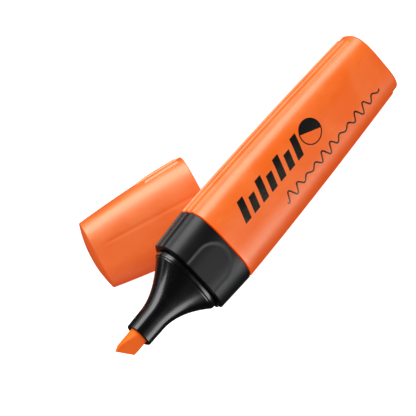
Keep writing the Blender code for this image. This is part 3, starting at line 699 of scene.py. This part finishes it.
ribs_stop = BARREL_START + BARREL_LENGTH - RIBS_END_BEFORE_TAIL
side_x = np.concatenate((
    BARREL_START + RIM * (1 - np.cos(np.linspace(0, np.pi / 2, 6))),
    np.linspace(BARREL_START + RIM, BARREL_EDGE - TAIL_STRETCH, SIDE_RINGS)[1:],
    np.linspace(BARREL_EDGE - TAIL_STRETCH, BARREL_EDGE, SIDE_RINGS)[1:],
))
rim_inset = edge_round(BARREL_START + RIM - side_x, RIM)
side_wide, side_thick = (size - rim_inset for size in barrel_size(side_x))
side_ribs = rib_run(side_x, -np.inf, ribs_stop, RIB_RUN_IN)[:, None] * np.ones(3)
barrel_side = flat_oval(side_x, side_wide, side_thick, side_ribs)[::-1]
tail_shares, tail_reach = crowned_end(TAIL_CROWN, TAIL_CORNER, TAIL[0])
barrel_tail = flat_oval(BARREL_EDGE + tail_reach, *TAIL, shrink=tail_shares)[:-1]
floor_x = BARREL_EDGE + TAIL_CORNER - TAIL_WALL
inner_x = np.linspace(BARREL_START, floor_x, 12)
inner_wide, inner_thick = (size - BARREL_WALL for size in barrel_size(inner_x))
barrel_bore = flat_oval(inner_x, inner_wide, inner_thick)
barrel_floor = floor_rings(floor_x, inner_wide[-1], inner_thick[-1])
barrel_inside = np.concatenate((barrel_bore, barrel_floor))
barrel_rings = np.concatenate((barrel_tail, barrel_side, barrel_inside))
side_rubbed = rib_share(barrel_side, side_wide[::-1], side_thick[::-1])
# painted glow, fading back from the barrel's front rim
rim_light = np.clip(1 - (side_x - BARREL_START) / RIM_GLOW, 0, 1)[::-1]
barrel_marks = shell_marks(barrel_tail, side_rubbed, rim_light, barrel_inside)
barrel_points = placed(barrel_rings, PEN_PLACE, PEN_TURN)
barrel = skin("barrel_moulding", barrel_points, poles=True, marks=barrel_marks)


def barrel_print():
    """The black print on the upper face, from plain shapes in the pen's x and y: a row of slanted
    strokes, long and short by turns, a disc split by a diagonal, and a thin hand-drawn wave."""
    sockets = [("Vector", "NodeSocketVector", None)], [("Ink", "NodeSocketFloat")]
    tree, given, out = effect("barrel_print", *sockets)
    split = wire(tree, "ShaderNodeSeparateXYZ", {"Vector": given.outputs["Vector"]})
    x, y, z = split.outputs

    def work(operation, *values):
        """A Math node of the print."""
        return sum_of(tree, operation, *values)

    def inside(value, limit, soft=PRINT_SOFT):
        """1 where value is under limit, with a soft edge."""
        return ramp(tree, value, limit + soft, limit - soft)

    def beyond(value, limit, soft=PRINT_SOFT):
        """1 where value is over limit, with a soft edge."""
        return ramp(tree, value, limit - soft, limit + soft)

    # strokes: one to a pitch along the slanted x, each a band on both sides of the pitch's middle
    leaned = work("MULTIPLY_ADD", y, -STROKE_LEAN, x)
    count = work("DIVIDE", work("SUBTRACT", leaned, STROKE_START), STROKE_PITCH)
    number = work("FLOOR", count)
    offset = work("ABSOLUTE", work("SUBTRACT", work("FRACT", count), 0.5))
    offset = work("MULTIPLY", offset, STROKE_PITCH)
    top = work("MULTIPLY_ADD", work("MODULO", number, 2.0), -STROKE_STEP, STROKE_TOP)
    below_top = inside(work("SUBTRACT", y, top), 0.0)
    bar = work("MULTIPLY", inside(offset, STROKE_HALF_WIDTH), below_top)
    bar = work("MULTIPLY", bar, beyond(y, STROKE_FOOT))
    bar = work("MULTIPLY", bar, inside(number, STROKE_COUNT - 0.5))
    bar = work("MULTIPLY", bar, beyond(number, -0.5, soft=0.1))
    # disc: filled above its diagonal, and left open below it inside a thin line
    from_x = work("SUBTRACT", x, DISC_CENTRE[0])
    from_y = work("SUBTRACT", y, DISC_CENTRE[1])
    away = work("SQRT", work("MULTIPLY_ADD", from_x, from_x, work("MULTIPLY", from_y, from_y)))
    in_disc = inside(away, DISC_RADIUS)
    ring = work("MULTIPLY", in_disc, beyond(away, DISC_RADIUS - DISC_LINE))
    half = work("MULTIPLY", in_disc, beyond(work("MULTIPLY_ADD", from_x, DISC_SLANT, from_y), 0.0))
    disc = work("MAXIMUM", ring, half)
    # wave: y = -4.9 + (0.95 + 0.5 sin 0.37x) sin 1.55x, its width measured across the line
    swell = work("SINE", work("MULTIPLY", x, WAVE_SWELL_RATE))
    swing = work("MULTIPLY_ADD", swell, WAVE_SWELL, WAVE_SWING)
    phase = work("MULTIPLY", x, WAVE_RATE)
    crest = work("MULTIPLY_ADD", swing, work("SINE", phase), WAVE_Y)
    slope = work("MULTIPLY", work("MULTIPLY", swing, work("COSINE", phase)), WAVE_RATE)
    across = work("SQRT", work("MULTIPLY_ADD", slope, slope, 1.0))
    off = work("DIVIDE", work("ABSOLUTE", work("SUBTRACT", y, crest)), across)
    wave = work("MULTIPLY", inside(off, WAVE_HALF_WIDTH), beyond(x, WAVE_REACH[0]))
    wave = work("MULTIPLY", wave, inside(x, WAVE_REACH[1]))
    ink = work("MAXIMUM", work("MAXIMUM", bar, disc), wave)
    tree.links.new(work("MULTIPLY", ink, ramp(tree, z, *PRINT_ABOVE)), out.inputs["Ink"])
    return tree


def orange_plastic(name, place, turn, fairness, roughness, sheen, ink=None):
    """Fluorescent orange moulding: mottled colour, lighter where the ribs are handled, a painted glow
    at the rim, an even painted glow all over but the print, and the print laid over it where there is
    one."""
    # the emission strength is the strength of the painted glow
    values = {"Coat_Roughness": 0.28, "Emission_Strength": 0.46, "Specular_IOR_Level": sheen}
    material, tree, shader = finish_of(name, Specular_Tint=WARM_SHEEN, **values)
    marks = moulded(tree, place, turn, ORANGE_GRAIN)
    mottle, scuffs, height = marks.outputs
    fair = sum_of(tree, "MULTIPLY_ADD", mottle, 0.25, fairness)
    handling = sum_of(tree, "MULTIPLY_ADD", mottle, 0.25, 0.2)
    handled = sum_of(tree, "MULTIPLY", attribute(tree, "rib"), handling)
    colour = blend_of(tree, fair, DEEP_ORANGE, FAIR_ORANGE)
    colour = blend_of(tree, handled, colour, RUBBED_ORANGE)
    colour = blend_of(tree, sum_of(tree, "MULTIPLY", scuffs, 0.25), colour, RUBBED_ORANGE)
    # painted glow at the rim
    colour = blend_of(tree, attribute(tree, "rim"), colour, LIT_RIM)
    gloss = sum_of(tree, "MULTIPLY_ADD", mottle, 0.05, roughness)
    gloss = sum_of(tree, "MULTIPLY_ADD", scuffs, 0.12, gloss)
    # the painted glow is given off evenly all over and held back where the print lies
    if ink is None:
        shader.inputs["Emission Color"].default_value = PAINTED_GLOW
        shader.inputs["Coat Weight"].default_value = ORANGE_COAT
    else:
        printed = wire(tree, "ShaderNodeGroup", node_tree=ink)
        tree.links.new(laid_out(tree, place, turn), printed.inputs["Vector"])
        inked = printed.outputs["Ink"]
        colour = blend_of(tree, inked, colour, PRINT_BLACK)
        gloss = sum_of(tree, "MULTIPLY_ADD", inked, -0.1, gloss)
        height = sum_of(tree, "ADD", inked, height)
        coat = sum_of(tree, "MULTIPLY_ADD", inked, -ORANGE_COAT, ORANGE_COAT)
        tree.links.new(blend_of(tree, inked, PAINTED_GLOW, UNLIT), shader.inputs["Emission Color"])
        tree.links.new(coat, shader.inputs["Coat Weight"])
    tree.links.new(colour, shader.inputs["Base Color"])
    tree.links.new(gloss, shader.inputs["Roughness"])
    relief(tree, shader, height, ORANGE_RELIEF)
    return material


barrel_values = (BARREL_FAIRNESS, BARREL_ROUGHNESS, BARREL_SHEEN, barrel_print())
printed_orange = orange_plastic("printed_orange_moulding", PEN_PLACE, PEN_TURN, *barrel_values)
barrel.data.materials.append(printed_orange)
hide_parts("barrel")
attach(barrel, "pen")

# Cap liner ----------------------------------------------------------------------------------------
# Natural polyethylene: a plate glued in the cap's closed end with a cup standing on it, whose mouth
# closes round the nozzle and keeps the nib wet.

CAP_PLACE = Vector((-19.887, 0.0, 6.309)) * MM  # middle of the cap's closed end
CAP_TURN = Euler((0.0, math.radians(-2.4401), 0.0))
CAP_LENGTH = 37.2
CAP_END = (10.7, 6.4)
CAP_MOUTH = (13.65, 7.9)
CAP_CROWN = 1.65
CAP_CORNER = 0.35
CAP_EDGE = CAP_CROWN + CAP_CORNER
CAP_SWELL = 1.6
CAP_WALL = 1.1
CAP_END_WALL = 1.6
LINER_DEPTH = 14.0
LINER_PLATE = 1.4
LINER_BORE = (4.6, 3.7)
LINER_WALL = 0.8
LINER_EDGE = 0.2
LINER_FILLET = 0.6  # where the cup stands on the plate
LINER_FLOOR_ROUND = 0.3
LINER_POWER = 2.6
NATURAL = (0.78, 0.78, 0.75, 1.0)
INK_STAIN = (0.80, 0.66, 0.52, 1.0)
LINER_GRAIN = 6.0
LINER_RELIEF = 0.01 * MM


def cap_size(x):
    """Half-width swells as 1 - (1 - share)^1.6 of the length from the edge, half-thickness evenly."""
    share = np.clip((x - CAP_EDGE) / (CAP_LENGTH - CAP_EDGE), 0, 1)
    swell = 1 - (1 - share) ** CAP_SWELL
    wide = CAP_END[0] + (CAP_MOUTH[0] - CAP_END[0]) * swell
    return wide, CAP_END[1] + (CAP_MOUTH[1] - CAP_END[1]) * share


def liner_profile():
    """(x, half-width, half-thickness) from the plate's back, out to the cup's rim with its rounded
    lip, and down the cup's bore to its floor."""
    plate_x = CAP_EDGE / 2 + CAP_END_WALL + PRESS_GAP
    plate = [size - CAP_WALL - 2 * PRESS_GAP for size in cap_size(plate_x)]
    cup = (LINER_BORE[0] + LINER_WALL, LINER_BORE[1] + LINER_WALL)
    top = plate_x + LINER_PLATE
    rim = plate_x + LINER_DEPTH
    middle = LINER_WALL / 2
    rows = [(plate_x, plate[0] * share, plate[1] * share) for share in (0.05, 0.5, 0.96)]
    rows += [(plate_x + LINER_EDGE, *plate), (top - LINER_EDGE, *plate)]
    rows += [(top, plate[0] - LINER_EDGE, plate[1] - LINER_EDGE)]
    rows += [(top, cup[0] + LINER_FILLET, cup[1] + LINER_FILLET)]
    rows += [(top + LINER_EDGE, cup[0] + LINER_EDGE, cup[1] + LINER_EDGE), (top + LINER_FILLET, *cup)]
    for turn in np.linspace(0, np.pi, 13):
        inset = middle * (1 - np.cos(turn))
        rows.append((rim - middle + middle * np.sin(turn), cup[0] - inset, cup[1] - inset))
    rows += [(top + LINER_FLOOR_ROUND, *LINER_BORE)]
    rows += [(top, LINER_BORE[0] - LINER_FLOOR_ROUND, LINER_BORE[1] - LINER_FLOOR_ROUND)]
    rows += [(top, LINER_BORE[0] * share, LINER_BORE[1] * share) for share in (0.5, 0.05)]
    return np.array(rows)


liner_rings = superoval(*liner_profile().T, LINER_POWER)
liner = skin("cap_liner_cup", placed(liner_rings, CAP_PLACE, CAP_TURN), poles=True)
natural, tree, shader = finish_of("natural_polyethylene", Coat_Weight=0.1)
marks = moulded(tree, CAP_PLACE, CAP_TURN, LINER_GRAIN)
stained = blend_of(tree, marks.outputs["Mottle"], NATURAL, INK_STAIN)
tree.links.new(stained, shader.inputs["Base Color"])
liner_gloss = sum_of(tree, "MULTIPLY_ADD", marks.outputs["Mottle"], 0.1, 0.38)
tree.links.new(liner_gloss, shader.inputs["Roughness"])
relief(tree, shader, marks.outputs["Height"], LINER_RELIEF)
liner.data.materials.append(natural)
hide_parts("cap_liner")
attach(liner, "cap")

# Cap shell ----------------------------------------------------------------------------------------
# The same orange as the barrel, moulded with a closed crowned end. Its mouth goes over the nose's
# bead and stops on the collar's front edge. Its grip ribs start there, the middle one the longest.

CAP_OUTER_RIBS = 13.6
CAP_MIDDLE_RIB = 16.0
CAP_RIBS_BEFORE_MOUTH = 1.2
LIP = 0.3
CREASE_Y = 2.9  # a faint sink line runs down each broad face beside its flat
CREASE_WIDTH = 0.55
CREASE_DEPTH = 0.09
CREASE_START = 4.0
CREASE_RUN_IN = 3.0
MOUTH_STRETCH = 2.6  # the last of the side, where rings are closer
RIB_MARGINS = (0.5, 1.5)  # before and after where the ribs start, with closer rings between
CAP_FAIRNESS = 0.08
CAP_ROUGHNESS = 0.46
CAP_SHEEN = 1.0

lip_start = CAP_LENGTH - LIP
ribs_begin = CAP_LENGTH - CAP_MIDDLE_RIB - RIB_MARGINS[0]
ribs_begun = CAP_LENGTH - CAP_OUTER_RIBS + RIB_MARGINS[1]
shell_x = np.concatenate((
    np.linspace(CAP_EDGE, ribs_begin, 18),
    np.linspace(ribs_begin, ribs_begun, 32)[1:],
    np.linspace(ribs_begun, lip_start - MOUTH_STRETCH, 10)[1:],
    np.linspace(lip_start - MOUTH_STRETCH, lip_start, 22)[1:],
    lip_start + LIP * np.sin(np.linspace(0, np.pi / 2, 7))[1:],
))
lip_inset = edge_round(shell_x - lip_start, LIP)
shell_wide, shell_thick = (size - lip_inset for size in cap_size(shell_x))
mouth_ribs = CAP_LENGTH - CAP_RIBS_BEFORE_MOUTH
outer_run = rib_run(shell_x, CAP_LENGTH - CAP_OUTER_RIBS, mouth_ribs, RIB_RUN_IN)
middle_run = rib_run(shell_x, CAP_LENGTH - CAP_MIDDLE_RIB, mouth_ribs, RIB_RUN_IN)
shell_ribs = np.stack((outer_run, middle_run, outer_run), -1)
cap_side = flat_oval(shell_x, shell_wide, shell_thick, shell_ribs)
crease_run = np.clip((shell_x - CREASE_START) / CREASE_RUN_IN, 0, 1)
crease_run *= np.clip((lip_start - shell_x) / CREASE_RUN_IN, 0, 1)
face = np.sign(cap_side[..., 2])
from_crease = (cap_side[..., 1] * face - CREASE_Y) / CREASE_WIDTH
cap_side[..., 2] -= face * CREASE_DEPTH * crease_run[:, None] * np.exp(-from_crease**2)
cap_shares, cap_reach = crowned_end(CAP_CROWN, CAP_CORNER, CAP_END[0])
cap_end = flat_oval(CAP_EDGE - cap_reach, *CAP_END, shrink=cap_shares)[:-1]
bore_floor = CAP_EDGE / 2 + CAP_END_WALL
bore_x = np.linspace(CAP_LENGTH, bore_floor, 24)
bore_wide, bore_thick = (size - CAP_WALL for size in cap_size(bore_x))
cap_bore = flat_oval(bore_x, bore_wide, bore_thick)
cap_inside = np.concatenate((cap_bore, floor_rings(bore_floor, bore_wide[-1], bore_thick[-1])))
cap_rings = np.concatenate((cap_end, cap_side, cap_inside))
cap_rubbed = rib_share(cap_side, shell_wide, shell_thick)
# painted glow, fading back from the cap's mouth
mouth_light = np.clip(1 - (CAP_LENGTH - shell_x) / RIM_GLOW, 0, 1)
cap_marks = shell_marks(cap_end, cap_rubbed, mouth_light, cap_inside)
cap = skin("cap_shell_moulding", placed(cap_rings, CAP_PLACE, CAP_TURN), poles=True, marks=cap_marks)
cap_values = (CAP_FAIRNESS, CAP_ROUGHNESS, CAP_SHEEN)
plain_orange = orange_plastic("plain_orange_moulding", CAP_PLACE, CAP_TURN, *cap_values)
cap.data.materials.append(plain_orange)
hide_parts("cap_shell")
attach(cap, "cap")

# Table --------------------------------------------------------------------------------------------
# A plain pale sheet under the object, not part of it. It looks lit through, so that shadows on it
# stay faint. It throws little light on the undersides, and reflects dark in front and pale behind.

TABLE_SIZE = 6.0
TABLE_BOUNCE = (0.22, 0.22, 0.22, 1.0)
TABLE_NEAR_SHEEN = (0.02, 0.02, 0.02, 1.0)
TABLE_FAR_SHEEN = (0.70, 0.70, 0.70, 1.0)
SHEEN_RANGE = (0.02, 0.09)  # metres behind the middle over which the reflection turns pale
PAPER_DARK = (0.52, 0.52, 0.52, 1.0)
PAPER_PALE = (0.55, 0.55, 0.55, 1.0)
BLACK = (0.0, 0.0, 0.0, 1.0)
WHITE = (1.0, 1.0, 1.0, 1.0)
table_mesh = bpy.data.meshes.new("table")
half_table = TABLE_SIZE / 2
corner_signs = ((-1, -1), (1, -1), (1, 1), (-1, 1))
table_corners = [(x * half_table, y * half_table, 0) for x, y in corner_signs]
table_mesh.from_pydata(table_corners, [], [(0, 1, 2, 3)])
table = bpy.data.objects.new("table", table_mesh)
bpy.context.scene.collection.objects.link(table)
paper_values = {"Roughness": 0.9, "Specular_IOR_Level": 0.1, "Emission_Strength": 0.82}
paper, tree, shader = finish_of("pale_table", **paper_values)
seeing = wire(tree, "ShaderNodeLightPath")
seen = seeing.outputs["Is Camera Ray"]
spot = wire(tree, "ShaderNodeTexCoord").outputs["Object"]
tone = wire(tree, "ShaderNodeTexNoise", {"Vector": spot, "Scale": 3.0})
depth = wire(tree, "ShaderNodeSeparateXYZ", {"Vector": spot}).outputs["Y"]
sheen = blend_of(tree, ramp(tree, depth, *SHEEN_RANGE), TABLE_NEAR_SHEEN, TABLE_FAR_SHEEN)
bounce = blend_of(tree, seeing.outputs["Is Glossy Ray"], TABLE_BOUNCE, sheen)
pale = blend_of(tree, tone.outputs["Fac"], PAPER_DARK, PAPER_PALE)
tree.links.new(blend_of(tree, seen, bounce, pale), shader.inputs["Base Color"])
tree.links.new(blend_of(tree, seen, BLACK, WHITE), shader.inputs["Emission Color"])
table.data.materials.append(paper)

# Studio -------------------------------------------------------------------------------------------
# Three soft boxes round the object: a broad one far behind it, a small one above and behind, and one
# in front. The surround is white where it is seen, dark in reflections and grey as light.

LAMP_AIM = Vector((0.02, -0.004, 0.012))
AIR_LIGHT = (0.35, 0.35, 0.35, 1.0)
AIR_REFLECTED = (0.02, 0.02, 0.02, 1.0)
scene = bpy.context.scene
scene.view_settings.view_transform = "Standard"


def soft_box(name, place, width, depth, radiance):
    """A rectangular lamp facing the object; watts = pi x area x radiance."""
    lamp = bpy.data.lights.new(name, "AREA")
    lamp.shape = "RECTANGLE"
    lamp.size = width
    lamp.size_y = depth
    lamp.energy = math.pi * width * depth * radiance
    holder = bpy.data.objects.new(name, lamp)
    scene.collection.objects.link(holder)
    holder.location = place
    holder.rotation_euler = (LAMP_AIM - Vector(place)).to_track_quat("-Z", "Y").to_euler()
    holder.visible_camera = False


soft_box("box_behind", (-0.10, 0.75, 0.44), width=1.3, depth=0.75, radiance=6.0)
soft_box("box_above", (-0.09, 0.515, 0.67), width=0.40, depth=0.30, radiance=2.2)
soft_box("box_front", (0.38, -0.56, 0.425), width=0.46, depth=0.36, radiance=6.0)
world = bpy.data.worlds.new("surround")
scene.world = world
world.use_nodes = True
tree = world.node_tree
back = tree.nodes["Background"]
path = wire(tree, "ShaderNodeLightPath")
air = blend_of(tree, path.outputs["Is Glossy Ray"], AIR_LIGHT, AIR_REFLECTED)
tree.links.new(blend_of(tree, path.outputs["Is Camera Ray"], air, WHITE), back.inputs["Color"])

# Camera -------------------------------------------------------------------------------------------
# A long lens almost overhead, twelve degrees off the upright, with the pen leaning away up the frame.

CAMERA_PLACE = Vector((-75.79, 116.0, 693.5)) * MM
CAMERA_AIM = Vector((17.081, -3.146, 10.0)) * MM
CAMERA_YAW = math.radians(27.865)  # the view's upright, clockwise from +Y
FOCAL_LENGTH = 205.94
SENSOR_WIDTH = 36.0
CLIP = (0.01, 100.0)
looking = (CAMERA_AIM - CAMERA_PLACE).normalized()
upward = Vector((math.sin(CAMERA_YAW), math.cos(CAMERA_YAW), 0.0))
across = looking.cross(upward).normalized()
upright = across.cross(looking)
lens = bpy.data.cameras.new("camera")
lens.sensor_width = SENSOR_WIDTH
lens.lens = FOCAL_LENGTH
lens.clip_start, lens.clip_end = CLIP
camera = bpy.data.objects.new("camera", lens)
scene.collection.objects.link(camera)
turned = Matrix((across, upright, -looking)).transposed().to_4x4()
camera.matrix_world = Matrix.Translation(CAMERA_PLACE) @ turned
scene.camera = camera
